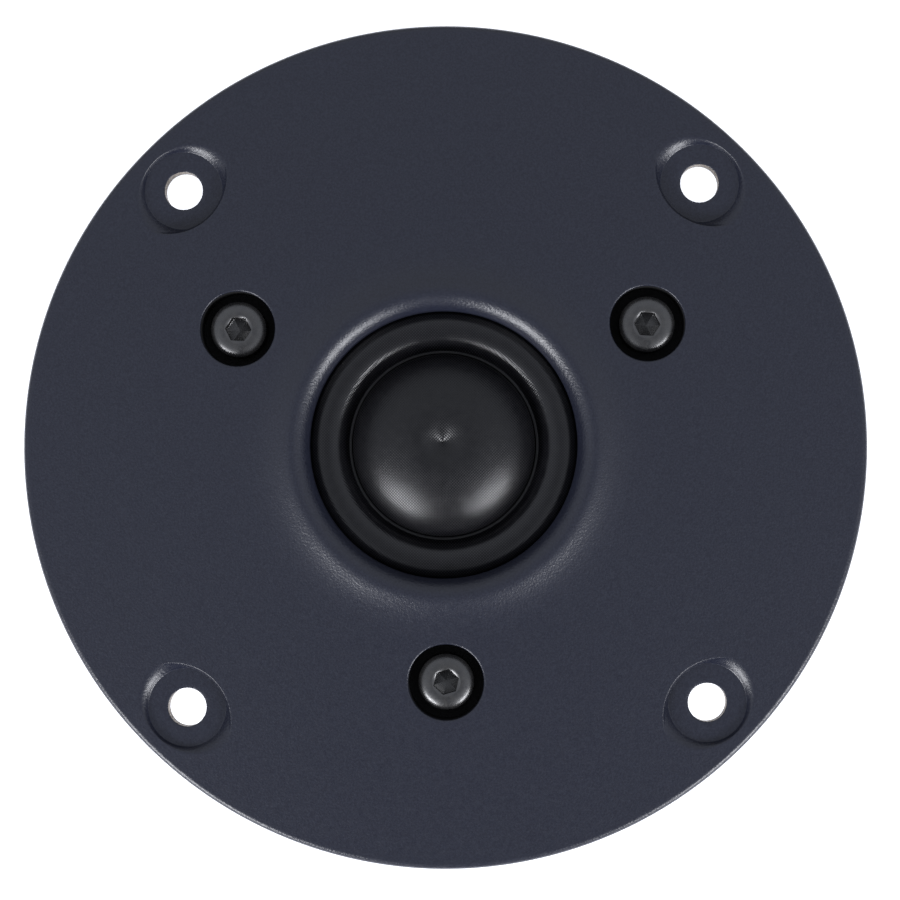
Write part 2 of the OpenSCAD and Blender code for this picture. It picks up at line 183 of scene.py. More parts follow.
def sheet_of(bm, loops, points, inside):
    """Triangulates points (x, y, z) as seen along Z. loops are closed runs of points that must stay
    edges, and a triangle stays if inside(x, y) is true at its centre."""
    everything, edges = [], []
    for loop in loops:
        start = len(everything)
        edges += [(start + k, start + (k + 1) % len(loop)) for k in range(len(loop))]
        everything += loop
    everything += points
    flat = [Vector(p[:2]) for p in everything]
    spots, _, faces, sources, _, _ = delaunay_2d_cdt(flat, edges, [], 0, 1e-6)
    verts = [
        bm.verts.new(Vector((*spot, everything[source[0]][2])) * MM) if source else None
        for spot, source in zip(spots, sources)
    ]
    for face in faces:
        corners = [verts[i] for i in face]
        if None in corners:
            continue
        centre = sum((v.co for v in corners), Vector()) / (len(corners) * MM)
        if inside(centre.x, centre.y):
            bm.faces.new(corners)


def finish_mesh(bm, name, sharp=40):
    """Joins what touches, turns every face outwards and marks the sharp edges."""
    bmesh.ops.remove_doubles(bm, verts=bm.verts, dist=2e-4 * MM)
    bmesh.ops.delete(bm, geom=[v for v in bm.verts if not v.link_faces], context="VERTS")
    bmesh.ops.recalc_face_normals(bm, faces=bm.faces)
    for face in bm.faces:
        face.smooth = True
    for edge in bm.edges:
        edge.smooth = len(edge.link_faces) == 2 and edge.calc_face_angle(0) < math.radians(sharp)
    mesh = bpy.data.meshes.new(name)
    bm.to_mesh(mesh)
    bm.free()
    piece = bpy.data.objects.new(name, mesh)
    bpy.context.scene.collection.objects.link(piece)
    return piece


def place(piece, body, materials, slot, *nodes):
    """Gives a piece its materials, its body and the CAD nodes it stands for. The slot argument is not used.
    """
    for mat in materials:
        piece.data.materials.append(mat)
    # a piece that bends follows two bodies already
    if "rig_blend" not in piece:
        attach(piece, body)
    if nodes:
        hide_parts(*nodes)
    return piece


# ---- Materials ----

def link_or_set(tree, socket, value):
    if isinstance(value, bpy.types.NodeSocket):
        tree.links.new(value, socket)
    elif isinstance(value, tuple) and len(value) == 3 and socket.type == "RGBA":
        socket.default_value = (*value, 1)
    else:
        socket.default_value = value


def node(tree, kind, inputs=None, **settings):
    """Adds a shader node and returns its first output."""
    made = tree.nodes.new("ShaderNode" + kind)
    for key, value in settings.items():
        setattr(made, key, value)
    for key, value in (inputs or {}).items():
        link_or_set(tree, made.inputs[key], value)
    return made.outputs[0]


def math_node(tree, operation, a, b=0.0):
    return node(tree, "Math", {0: a, 1: b}, operation=operation)


def place_of(tree, stretch=(1, 1, 1)):
    """The point in the row frame, in millimetres, stretched along each axis."""
    where = tree.nodes.new("ShaderNodeTexCoord").outputs["Object"]
    scale = tuple(s / MM for s in stretch)
    return node(tree, "Mapping", {"Vector": where, "Scale": scale})


def noise(tree, per_mm, detail=3.0, rough=0.5, stretch=(1, 1, 1)):
    return node(
        tree, "TexNoise",
        {"Vector": place_of(tree, stretch), "Scale": per_mm, "Detail": detail, "Roughness": rough},
    )


def cells(tree, per_mm):
    return node(tree, "TexVoronoi", {"Vector": place_of(tree), "Scale": per_mm})


def spread(tree, value, low, high, from_low=0.3, from_high=0.7):
    """Maps a value from one range to another, by default from the range that most noise lies in."""
    made = tree.nodes.new("ShaderNodeMapRange")
    for key, v in (("Value", value), ("From Min", from_low), ("From Max", from_high),
                   ("To Min", low), ("To Max", high)):
        link_or_set(tree, made.inputs[key], v)
    return made.outputs[0]


def mix(tree, factor, a, b):
    """A mix of two colours. Its sockets go by number, because each data type has some of that name."""
    made = tree.nodes.new("ShaderNodeMix")
    made.data_type = "RGBA"
    link_or_set(tree, made.inputs["Factor"], factor)
    link_or_set(tree, made.inputs[6], a)
    link_or_set(tree, made.inputs[7], b)
    return made.outputs[2]


def bump(tree, height, depth_mm, normal=None):
    inputs = {"Height": height, "Distance": depth_mm * MM, "Strength": 1.0}
    if normal is not None:
        inputs["Normal"] = normal
    return node(tree, "Bump", inputs)


def material(name, build, **sockets):
    """A Principled material. build(tree) returns what is linked to its sockets, by name."""
    mat = bpy.data.materials.new(name)
    mat.use_nodes = True
    tree = mat.node_tree
    shader = tree.nodes["Principled BSDF"]
    for key, value in {**sockets, **build(tree)}.items():
        link_or_set(tree, shader.inputs[key.replace("_", " ")], value)
    return mat


def powder(tree):
    grain = noise(tree, 3.5, 2.0, 0.6)
    peel = noise(tree, 1.2, 2.0)
    fleck = spread(tree, noise(tree, 4.0, 1.0), 0, 1, 0.35, 0.68)
    return {
        "Base Color": mix(tree, fleck, (0.007, 0.008, 0.016), (0.012, 0.014, 0.024)),
        "Roughness": spread(tree, peel, 0.30, 0.35),
        "Normal": bump(tree, grain, 0.042, bump(tree, peel, 0.012)),
    }


def bare_wall(tree):
    return {
        "Base Color": mix(tree, noise(tree, 2.0), (0.20, 0.17, 0.14), (0.32, 0.28, 0.24)),
        "Roughness": spread(tree, noise(tree, 3.0), 0.4, 0.6),
        "Normal": bump(tree, noise(tree, 6, stretch=(0.3, 0.3, 3)), 0.02),
    }


# Near-black, low-gloss colour: on the counterbores' walls and floors it is painted shade; on the glue bead
# it is the glue's own black.
def painted_bore_shade_and_black_glue(tree):
    return {
        "Base Color": mix(tree, noise(tree, 2.0), (0.002, 0.002, 0.002), (0.005, 0.005, 0.006)),
        "Normal": bump(tree, noise(tree, 4.0), 0.03),
    }


WEAVE_PITCH = 0.19


def weave(tree):
    """A plain weave as seen along Z, because the cloth is woven flat before it is formed."""
    where = tree.nodes.new("ShaderNodeSeparateXYZ")
    link_or_set(tree, where.inputs[0], place_of(tree))
    waves = [
        math_node(tree, "SINE", math_node(tree, "MULTIPLY", where.outputs[axis], math.pi / WEAVE_PITCH))
        for axis in ("X", "Y")
    ]
    return math_node(tree, "MULTIPLY", *waves)


def coated_cloth(weave_mm, tops, gaps):
    """Cloth with a weave of the given depth. tops and gaps are the roughness of its threads and of
    the hollows between them."""
    def build(tree):
        coat = noise(tree, 0.9, 3.0)
        threads = weave(tree)
        height = math_node(tree, "MULTIPLY", threads, spread(tree, coat, 0.45, 1.0))
        tint = spread(tree, coat, 0, 1)
        return {
            "Base Color": mix(tree, tint, (0.003, 0.003, 0.004), (0.006, 0.006, 0.007)),
            "Roughness": spread(tree, threads, gaps, tops, -0.5, 0.7),
            "Normal": bump(tree, height, weave_mm, bump(tree, coat, 0.010)),
        }
    return build


def black_oxide(tree):
    wear = spread(tree, noise(tree, 1.2, 5.0, 0.65), 0, 1, 0.35, 0.75)
    return {
        "Base Color": mix(tree, wear, (0.008, 0.008, 0.009), (0.022, 0.021, 0.020)),
        "Roughness": spread(tree, noise(tree, 3.0), 0.24, 0.34),
        "Normal": bump(tree, noise(tree, 9.0, 2.0), 0.002),
    }


def foam(tree):
    pores = cells(tree, 3.5)
    return {
        "Base Color": mix(tree, pores, (0.010, 0.010, 0.011), (0.030, 0.030, 0.032)),
        "Normal": bump(tree, pores, 0.12),
    }


def zinc_steel(tree):
    lines = noise(tree, 3.0, 3.0, 0.6, (0.1, 0.1, 4))
    bloom = noise(tree, 0.15, 4.0)
    return {
        "Base Color": mix(tree, spread(tree, bloom, 0, 1), (0.40, 0.41, 0.42), (0.56, 0.56, 0.55)),
        "Roughness": spread(tree, lines, 0.26, 0.42),
        "Normal": bump(tree, lines, 0.008),
    }


def bare_steel(tree):
    lines = noise(tree, 3.0, 3.0, 0.6, (0.1, 0.1, 5))
    return {
        "Base Color": mix(tree, lines, (0.40, 0.40, 0.40), (0.56, 0.56, 0.55)),
        "Roughness": spread(tree, lines, 0.3, 0.5),
        "Normal": bump(tree, lines, 0.01),
    }


def ferrite(tree):
    grain = noise(tree, 3.0, 6.0, 0.7)
    dust = noise(tree, 0.25, 4.0)
    return {
        "Base Color": mix(tree, spread(tree, dust, 0, 1), (0.030, 0.030, 0.032), (0.060, 0.059, 0.060)),
        "Roughness": spread(tree, grain, 0.45, 0.75),
        "Normal": bump(tree, grain, 0.05),
    }


def moulded(tree):
    spark = noise(tree, 5.0, 3.0, 0.6)
    return {
        "Base Color": mix(tree, noise(tree, 0.3, 3.0), (0.012, 0.012, 0.013), (0.022, 0.022, 0.023)),
        "Roughness": spread(tree, spark, 0.42, 0.6),
        "Normal": bump(tree, spark, 0.03),
    }


def plated(low, high):
    def build(tree):
        tarnish = noise(tree, 0.8, 5.0, 0.6)
        return {
            "Base Color": mix(tree, spread(tree, tarnish, 0, 1), low, high),
            "Roughness": spread(tree, tarnish, 0.22, 0.38),
            "Normal": bump(tree, noise(tree, 6.0, 2.0), 0.004),
        }
    return build


def fibrous(low, high, depth, per_mm=4.0):
    def build(tree):
        fibres = noise(tree, per_mm, 6.0, 0.75)
        return {
            "Base Color": mix(tree, spread(tree, fibres, 0, 1), low, high),
            "Normal": bump(tree, fibres, depth),
        }
    return build


POWDER = material("powder_coat", powder)
HOLE_WALL = material("bare_hole_wall", bare_wall, Metallic=0.6)
# painted shade: the counterbores get a near-black matte material so that they look deeply shaded
PAINTED_BORE_SHADE = material("painted_shade_in_bores", painted_bore_shade_and_black_glue, Roughness=0.7, IOR=1.35)
DOME_CLOTH = material("coated_dome_cloth", coated_cloth(0.013, 0.13, 0.48), IOR=1.41)
ROLL_CLOTH = material("coated_roll_cloth", coated_cloth(0.010, 0.13, 0.28), IOR=1.44)
BLACK = material("black_oxide_steel", black_oxide, IOR=1.8)
GLUE = material("black_glue", painted_bore_shade_and_black_glue, Roughness=0.3)
FOAM = material("closed_cell_foam", foam, Roughness=0.85)
ZINC = material("zinc_plated_steel", zinc_steel, Metallic=1.0)
STEEL = material("turned_steel", bare_steel, Metallic=1.0)
FERRITE = material("ferrite", ferrite)
MOULDED = material("moulded_plastic", moulded)
TIN = material("tinned_brass", plated((0.60, 0.58, 0.54), (0.78, 0.76, 0.71)), Metallic=1.0)
BRASS = material("brass", plated((0.55, 0.40, 0.16), (0.75, 0.58, 0.27)), Metallic=1.0)
COPPER = material("copper", plated((0.70, 0.30, 0.16), (0.88, 0.45, 0.28)), Metallic=1.0)
ENAMEL = material("enamelled_wire", plated((0.42, 0.13, 0.04), (0.60, 0.24, 0.08)), Metallic=0.9)
TINSEL = material("tinsel_wire", plated((0.62, 0.34, 0.14), (0.80, 0.50, 0.26)), Metallic=1.0)
FOIL = material("anodised_foil", plated((0.55, 0.56, 0.58), (0.76, 0.77, 0.79)), Metallic=1.0)
AMBER = material("amber_tape", plated((0.38, 0.14, 0.02), (0.56, 0.26, 0.05)), Coat_Weight=0.3)
RED_FIBRE = material("red_fibre", fibrous((0.28, 0.02, 0.012), (0.45, 0.05, 0.03), 0.04), Roughness=0.7)
FELT = material("felt", fibrous((0.05, 0.05, 0.055), (0.14, 0.14, 0.15), 0.2), Roughness=0.95)
WADDING = material("wadding", fibrous((0.55, 0.54, 0.50), (0.82, 0.81, 0.77), 0.4, 1.5), Roughness=0.95)


# ---- Faceplate ----

def swell(u):
    """Falls from 1 at u = 0, where it is level, towards 0."""
    return (1 + u) * math.exp(-u)


def face_z(r):
    """Height of the front outside the lip's crest, before edges and recesses."""
    slope = (CREST_R - r) * math.tan(FACE_SLOPE)
    return CREST_Z - RIDGE_H + slope + RIDGE_H * swell((r - CREST_R) / RIDGE_FALL)


def lip_profile():
    """(r, z) from the throat's edge up and over to the crest."""
    arc_r = CREST_R - CREST_ROUND * math.sin(FACE_SLOPE)
    arc_z = face_z(CREST_R) - CREST_ROUND * math.cos(FACE_SLOPE)
    centre_r = arc_r + (FLARE_R - CREST_ROUND) * math.sin(CREST_TURN)
    centre_z = arc_z - (FLARE_R - CREST_ROUND) * math.cos(CREST_TURN)
    # the flare ends where the tip's rounding meets it on the same slope
    tip_angle = math.asin((centre_r - THROAT_R - TIP_ROUND) / (FLARE_R - TIP_ROUND))
    tip_z = centre_z + (FLARE_R - TIP_ROUND) * math.cos(tip_angle)
    tip_angle, turn = math.degrees(tip_angle), math.degrees(CREST_TURN)
    tip = arc(THROAT_R + TIP_ROUND, tip_z, TIP_ROUND, -90, -tip_angle, 5)
    flare = arc(centre_r, centre_z, FLARE_R, -tip_angle, -turn, 14)
    over_top = arc(arc_r, arc_z, CREST_ROUND, -turn, math.degrees(FACE_SLOPE), 12)
    return tip + flare[1:-1] + over_top


def eased_wall(distance, width, depth):
    """Height above the floor on a wall that is steep at its foot and eases into the face."""
    t = min(max(distance / width, 0), 1)
    return depth * t * (2 - t)


def recess_height(u, v, face):
    """Height of the front near a mounting hole. u points out to the rim and v along it, both from
    the hole's centre."""
    depth = face - RECESS_Z
    along_rim = (v / max(math.hypot(u, v), 1e-6)) ** 2
    width = (RECESS_WIDEN + RECESS_STRETCH * along_rim) * depth + WALL_EASE
    wall_up = eased_wall(math.hypot(u, v) - RECESS_R, width, depth)
    # the side towards the dome is cut off by a larger circle
    flat_width = RECESS_WIDEN * depth + WALL_EASE
    flat_side = eased_wall(math.hypot(u - FLAT_SIDE_AT, v) - FLAT_SIDE_R, flat_width, depth)
    return RECESS_Z + max(wall_up, flat_side)


def local(x, y, angle, radius):
    """A point seen from the one at radius and angle: out to the rim, and along it."""
    c, s = math.cos(angle), math.sin(angle)
    return x * c + y * s - radius, y * c - x * s


def away(u, v, angle, radius):
    c, s = math.cos(angle), math.sin(angle)
    return (radius + u) * c - v * s, (radius + u) * s + v * c


def ring_loop(radius, z, count, angle=0.0, at=0.0):
    """A circle of points. Its centre lies at radius at and the given angle from the Z axis."""
    return [(*away(*on_circle(radius, a), angle, at), z) for a in turns(count)]


def clear_of(x, y, angles, at, radius):
    """True where a point lies outside all circles of that radius at those angles."""
    return all(math.hypot(*local(x, y, a, at)) > radius for a in angles)


def recess_ray(a):
    """Where a recess's wall begins and ends on the ray at angle a from its hole's centre."""
    def height(radius):
        u, v = on_circle(radius, a)
        face = face_z(math.hypot(u + MOUNT_R, v))
        return recess_height(u, v, face) - RECESS_Z, face - RECESS_Z

    step = 0.01
    edge = 4.0
    while height(edge)[0] <= 0:
        edge += step
    mouth = edge
    while height(mouth)[0] < height(mouth)[1] - 1e-5:
        mouth += step
    return edge, mouth


RECESS_RAYS = [recess_ray(a) for a in turns(RECESS_POINTS)]


def recess_mouth(u, v):
    """Distance from the hole's centre to the end of the recess's wall, on the ray to a point."""
    share = math.atan2(v, u) / math.tau * RECESS_POINTS
    return max(RECESS_RAYS[k % RECESS_POINTS][1] for k in (math.floor(share), math.ceil(share)))


def recess_points(angle):
    """The hole's rim loop and the points of one recess, in rings that follow its wall."""
    loop = ring_loop(HOLE_R, RECESS_Z - 0.1, HOLE_POINTS, angle, MOUNT_R)
    points = []
    for wider, drop in ((0.01, 0.07), (0.04, 0.03), (0.1, 0), (0.6, 0), (1.3, 0)):
        points += ring_loop(HOLE_R + wider, RECESS_Z - drop, HOLE_POINTS, angle, MOUNT_R)
    steps = 14
    for a, (edge, mouth) in zip(turns(RECESS_POINTS), RECESS_RAYS):
        radii = [edge - 0.5, edge - 0.12, edge - 0.02]
        radii += [edge + (mouth - edge) * k / steps for k in range(steps + 1)]
        radii += [mouth + 0.12, mouth + 0.35]
        for radius in radii:
            u, v = on_circle(radius, a)
            x, y = away(u, v, angle, MOUNT_R)
            points.append((x, y, recess_height(u, v, face_z(math.hypot(x, y)))))
    return loop, points


def counterbore_points(angle):
    """The counterbore's rim loop and the rings of its rounded edge."""
    soft = 0.22
    loop, points = [], []
    for k, share in enumerate((0, 0.06, 0.25, 0.55, 1, 2.2, 5)):
        radius = COUNTERBORE_R + soft * share
        inward = max(1 - share, 0)
        drop = soft * (1 - math.sqrt(1 - inward * inward))
        ring = []
        for a in turns(BORE_POINTS):
            x, y = away(*on_circle(radius, a), angle, CLAMP_R)
            ring.append((x, y, face_z(math.hypot(x, y)) - drop))
        if k == 0:
            loop = ring
        else:
            points += ring
    return loop, points


def front_face(bm):
    """The front as one sheet of triangles with rings that close up wherever it curves. Returns the
    loops that the walls below it start from."""
    lip = lip_profile()
    edge_r = RIM_R - EDGE_ROUND
    rim = arc(edge_r, face_z(edge_r) - EDGE_ROUND, EDGE_ROUND, 0, 90, 10)
    # radii of the rings on the slope: close together by the lip, then wide until the rim's rounding
    slope_radii = []
    r = CREST_R
    while r < 52.6:
        r += 0.16 + 0.05 * (r - CREST_R) if r < 40 else 1.2
        slope_radii.append(r)
    slope_radii += [53.6, 53.95]
    slope = [(r, face_z(r)) for r in slope_radii]

    def free(x, y):
        """True where no hole or recess has points of its own."""
        for a in MOUNT_ANGLES:
            u, v = local(x, y, a, MOUNT_R)
            if math.hypot(u, v) < recess_mouth(u, v) + 0.5:
                return False
        return clear_of(x, y, CLAMP_ANGLES, CLAMP_R, COUNTERBORE_R + 1.0)

    lip_loop, rim_loop = ring_loop(*lip[0], EDGE_POINTS), ring_loop(*rim[-1], EDGE_POINTS)
    points = []
    for r, z in lip[1:] + slope + rim[:-1]:
        ring = ring_loop(r, z, EDGE_POINTS if r < 24 or r > 53.5 else FACE_POINTS)
        points += [(x, y, z) for x, y, z in ring if free(x, y)]
    mount_loops, bore_loops = [], []
    for a in MOUNT_ANGLES:
        loop, more = recess_points(a)
        mount_loops.append(loop)
        points += more
    for a in CLAMP_ANGLES:
        loop, more = counterbore_points(a)
        bore_loops.append(loop)
        points += more

    def inside(x, y):
        return (
            THROAT_R < math.hypot(x, y) < RIM_R
            and clear_of(x, y, CLAMP_ANGLES, CLAMP_R, COUNTERBORE_R - CHORD_SAG)
            and clear_of(x, y, MOUNT_ANGLES, MOUNT_R, HOLE_R - CHORD_SAG)
        )

    sheet_of(bm, [lip_loop, rim_loop] + mount_loops + bore_loops, points, inside)
    return lip_loop, rim_loop, mount_loops, bore_loops


def rear_ring(bm, inner_r, outer_r, z, hole_loops, angles, at, hole_r):
    """A flat ring with holes in it, facing back."""
    sheet_of(
        bm, [ring_loop(inner_r, z, EDGE_POINTS), ring_loop(outer_r, z, EDGE_POINTS)] + hole_loops, [],
        lambda x, y: (
            inner_r < math.hypot(x, y) < outer_r and clear_of(x, y, angles, at, hole_r - CHORD_SAG)
        ),
    )


def make_faceplate():
    # the counterbores' near-black material is painted shade
    bare, bore_shade = 1, 2  # indices of the materials of the holes and the counterbores
    bm = bmesh.new()
    lip_loop, rim_loop, mount_loops, bore_loops = front_face(bm)
    throat = [(THROAT_R, lip_loop[0][2]), (THROAT_R, LIP_LOW), (RELIEF_R, RELIEF_Z), (RELIEF_R, CLAMP_Z)]
    pocket = [(POCKET_R, CLAMP_Z), (POCKET_R, HUB_Z)]
    hub_side = [(HUB_R - REAR_CHAMFER, HUB_Z), (HUB_R, HUB_Z + REAR_CHAMFER), (HUB_R, 0)]
    rim_side = [(RIM_R - REAR_CHAMFER, 0), (RIM_R, REAR_CHAMFER), (RIM_R, rim_loop[0][2])]
    for outline in (throat + pocket, hub_side, rim_side):
        lathe(bm, outline, EDGE_POINTS, closed=False)
    flange_loops = []
    for a, top in zip(MOUNT_ANGLES, mount_loops):
        low = ring_loop(HOLE_R, HOLE_CHAMFER, HOLE_POINTS, a, MOUNT_R)
        wide = ring_loop(HOLE_R + HOLE_CHAMFER, 0, HOLE_POINTS, a, MOUNT_R)
        wall(bm, top, low, bare)
        wall(bm, low, wide, bare)
        flange_loops.append(wide)
    rear_ring(bm, HUB_R, RIM_R - REAR_CHAMFER, 0, flange_loops, MOUNT_ANGLES, MOUNT_R, HOLE_R + HOLE_CHAMFER)
    hub_loops = []
    for a, top in zip(CLAMP_ANGLES, bore_loops):
        floor = ring_loop(COUNTERBORE_R, COUNTERBORE_Z, BORE_POINTS, a, CLAMP_R)
        mouth = ring_loop(CLAMP_HOLE_R, COUNTERBORE_Z, BORE_POINTS, a, CLAMP_R)
        low = ring_loop(CLAMP_HOLE_R, HUB_Z, BORE_POINTS, a, CLAMP_R)
        # the counterbore's wall, floor and hole get the painted shade material
        for upper, lower in ((top, floor), (floor, mouth), (mouth, low)):
            wall(bm, upper, lower, bore_shade)
        hub_loops.append(low)
    rear_ring(bm, POCKET_R, HUB_R - REAR_CHAMFER, HUB_Z, hub_loops, CLAMP_ANGLES, CLAMP_R, CLAMP_HOLE_R)
    plate = finish_mesh(bm, "faceplate_shell", sharp=38)
    cut_slot(plate)
    return place(plate, ROOT, [POWDER, HOLE_WALL, PAINTED_BORE_SHADE], "powder_coat", "faceplate")


def cut_slot(plate):
    """Cuts the slot through the hub wall where the carrier's tongue comes out."""
    low, high = Vector((-SLOT_HALF, SLOT_FROM, HUB_Z - 1)), Vector((SLOT_HALF, SLOT_TO, SLOT_TOP))
    cutter_bm = bmesh.new()
    bmesh.ops.create_cube(cutter_bm, size=1)
    for v in cutter_bm.verts:
        v.co = ((low + high) / 2 + v.co * (high - low)) * MM
    cutter = finish_mesh(cutter_bm, "slot_cutter")
    cut = plate.modifiers.new("slot", "BOOLEAN")
    cut.operation, cut.solver, cut.object = "DIFFERENCE", "EXACT", cutter
    bpy.context.view_layer.update()
    done = bpy.data.meshes.new_from_object(plate.evaluated_get(bpy.context.evaluated_depsgraph_get()))
    plate.modifiers.clear()
    plate.data = done
    bpy.data.objects.remove(cutter)


make_faceplate()


# ---- Dome and surround ----

DOME_R = 11.95
DOME_H = 6.65
DIMPLE = 1.7
DIMPLE_SPREAD = 2.25
DIMPLE_AT = (0.0, 0.2)  # the dimple is a little off the dome's centre
BOND_OUT = 12.9
LIP_IN = 12.05
ROLL_IN = 12.5
ROLL_OUT = 18.1
ROLL_H = 2.2
FLANGE_OUT = 20.6


def cap_z(r):
    return DOME_H * math.sqrt(max(0, 1 - (r / DOME_R) ** 2))


def dimple(distance):
    """Depth of the dimple: a soft hollow with a pointed bottom."""
    t = distance / DIMPLE_SPREAD
    return DIMPLE * (0.7 * math.exp(-t * t) + 0.3 * math.exp(-4 * t))


def radius_of_arc(half, height):
    """Radius of the arc that rises to that height over a span of twice half."""
    return (half * half + height * height) / (2 * height)


def roll_arc(height, inner, outer, z, steps):
    half = (outer - inner) / 2
    radius = radius_of_arc(half, height)
    lean = math.degrees(math.asin(half / radius))
    return arc((inner + outer) / 2, z + height - radius, radius, -lean, lean, steps)


def make_dome():
    steps = 90
    inner_r = DOME_R - CLOTH
    outer, inner = [], []
    for i in range(steps):
        share = math.sin(math.pi / 2 * i / steps)
        outer.append((DOME_R * share, BOND_Z + cap_z(DOME_R * share)))
        inner.append((inner_r * share, BOND_Z - CLOTH + cap_z(inner_r * share)))
    foot = [(DOME_R + 0.02, BOND_Z + 0.25), (DOME_R + 0.12, BOND_Z + 0.06), (DOME_R + 0.3, BOND_Z)]
    edge = [(BOND_OUT, BOND_Z), (BOND_OUT, BOND_Z - CLOTH), (inner_r + 0.1, BOND_Z - CLOTH)]
    bm = bmesh.new()
    lathe(bm, outer + foot + edge + inner[:-2][::-1], CLOTH_POINTS, closed=False)
    for vertex in bm.verts:
        vertex.co.z -= dimple((vertex.co.xy / MM - Vector(DIMPLE_AT)).length) * MM
    piece = finish_mesh(bm, "dome_cloth", sharp=50)
    return place(piece, MOVING, [DOME_CLOTH], "coated_cloth", "dome")


def roll_foot(radius):
    """The fillet between the surround's glued edge and its roll."""
    half = (ROLL_OUT - ROLL_IN) / 2
    roll_r = radius_of_arc(half, ROLL_H)
    centre_r, centre_z = ROLL_IN + half, BOND_Z + CLOTH + ROLL_H - roll_r
    z = BOND_Z + CLOTH + radius
    r = centre_r - math.sqrt((roll_r + radius) ** 2 - (z - centre_z) ** 2)
    return arc(r, z, radius, 180, math.degrees(math.atan2(centre_r - r, centre_z - z)), 6)


def make_surround():
    steps = 56
    foot = roll_foot(0.35)
    top = [p for p in roll_arc(ROLL_H, ROLL_IN, ROLL_OUT, BOND_Z + CLOTH, steps) if p[0] > foot[-1][0]]
    under = roll_arc(ROLL_H - 0.02, ROLL_IN + CLOTH, ROLL_OUT - CLOTH, BOND_Z, steps)
    outline = [(LIP_IN, BOND_Z + 0.02), (LIP_IN, BOND_Z + CLOTH - 0.05), (LIP_IN + 0.06, BOND_Z + CLOTH)]
    outline += foot + top + [(FLANGE_OUT, CLAMP_Z), (FLANGE_OUT, CLAMP_Z - CLOTH)] + under[::-1]
    bm = bmesh.new()
    lathe(bm, outline, CLOTH_POINTS)
    piece = finish_mesh(bm, "surround_cloth", sharp=50)
    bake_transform(piece, MOVING, ROOT, start=(ROLL_IN * MM, 0, 0), end=(ROLL_OUT * MM, 0, 0))
    # the roll bends the same way all round, so its weights go by radius
    weights = piece.data.attributes["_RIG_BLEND"].data
    for vertex, weight in zip(piece.data.vertices, weights):
        t = (vertex.co.xy.length / MM - ROLL_IN) / (ROLL_OUT - ROLL_IN)
        t = min(max(t, 0), 1)
        weight.value = t * t * (3 - 2 * t)
    return place(piece, None, [ROLL_CLOTH], "coated_cloth", "surround")


def make_glue_bead():
    """The bead that seals the surround's inner edge to the dome."""
    bm = bmesh.new()
    lathe(bm, arc(LIP_IN + 0.06, BOND_Z + CLOTH, 0.1, 0, 345, 11), CLOTH_POINTS)
    return place(finish_mesh(bm, "glue_bead", sharp=60), MOVING, [GLUE], "coated_cloth")


def make_voice_coil():
    """The winding's outer layer, turn by turn."""
    low, high = (corner.z for corner in box_mm("voice_coil"))
    outer_r = box_mm("voice_coil")[1].x
    wires = 20
    wire_r = (high - low) / wires / 2
    outline = [(outer_r - 0.3, low), (outer_r - 0.3, high)]
    for k in range(wires):
        outline += arc(outer_r - wire_r, high - wire_r * (2 * k + 1), wire_r, 0, 180, 4)
    bm = bmesh.new()
    lathe(bm, outline, COIL_POINTS)
    return place(finish_mesh(bm, "wound_coil", sharp=80), MOVING, [ENAMEL], "enamelled_copper", "voice_coil")


# Where the right lead runs: up from the coil, along the carrier's groove and to its rivet
LEAD_ROUTE = [
    (4.6, 12.3, -1.2), (4.8, 13.0, 0.1), (5, 14.3, 0.85), (5, 17, 0.7), (5, 23.6, 0.65), (5, 25.8, 0.05),
    (5, 27.2, -0.24), (5, 36.1, -0.25),
]
LEAD_STEP = 0.1
LEAD_TWIST = 1.3
STRAND_R = 0.09


def smooth_route(points, step):
    """Points about step apart on a smooth curve through the given ones, with its direction at each."""
    points = [Vector(p) for p in points]
    ends = [2 * points[0] - points[1]] + points + [2 * points[-1] - points[-2]]
    route = []
    for a, b, c, d in zip(ends, ends[1:], ends[2:], ends[3:]):
        count = max(round((c - b).length / step), 1)
        # both tangents are as long as the span, so that the curve never swings back
        into = (c - a).normalized() * (c - b).length
        out = (d - b).normalized() * (c - b).length
        for k in range(count):
            t = k / count
            spot = b * (2 * t ** 3 - 3 * t ** 2 + 1) + into * (t ** 3 - 2 * t ** 2 + t)
            spot += c * (3 * t ** 2 - 2 * t ** 3) + out * (t ** 3 - t ** 2)
            slope = b * (6 * t * t - 6 * t) + into * (3 * t * t - 4 * t + 1)
            slope += c * (6 * t - 6 * t * t) + out * (3 * t * t - 2 * t)
            route.append((spot, slope.normalized()))
    return route


def make_lead(node_name, side):
    """A lead of three strands twisted round each other, mirrored for side -1."""
    bm = bmesh.new()
    right = Vector((1, 0, 0))
    sides = 6
    for strand in range(3):
        rings = []
        for k, (centre, along) in enumerate(smooth_route(LEAD_ROUTE, LEAD_STEP)):
            across = along.cross(right).normalized()
            turn = math.tau * (strand / 3 + k * LEAD_STEP / LEAD_TWIST)
            core = centre + STRAND_R * 1.15 * (math.cos(turn) * right + math.sin(turn) * across)
            ring = []
            for a in turns(sides):
                spot = core + STRAND_R * (math.cos(a) * right + math.sin(a) * across)
                ring.append(bm.verts.new(Vector((spot.x * side, spot.y, spot.z)) * MM))
            rings.append(ring)
        for low, high in zip(rings, rings[1:]):
            for k in range(sides):
                bm.faces.new([low[k - 1], low[k], high[k], high[k - 1]])
        bm.faces.new(rings[0])
        bm.faces.new(rings[-1])
    piece = finish_mesh(bm, node_name + "_strands", sharp=70)
    # it bends between the coil and the carrier's inner edge
    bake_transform(piece, MOVING, ROOT, start=(0, 12.5 * MM, 0), end=(0, 15.5 * MM, 0))
    return place(piece, None, [TINSEL], "tinsel_copper", node_name)


make_dome()
make_surround()
make_glue_bead()
make_voice_coil()
make_lead("lead_wire_positive", 1)
make_lead("lead_wire_negative", -1)


# ---- Clamp screws ----

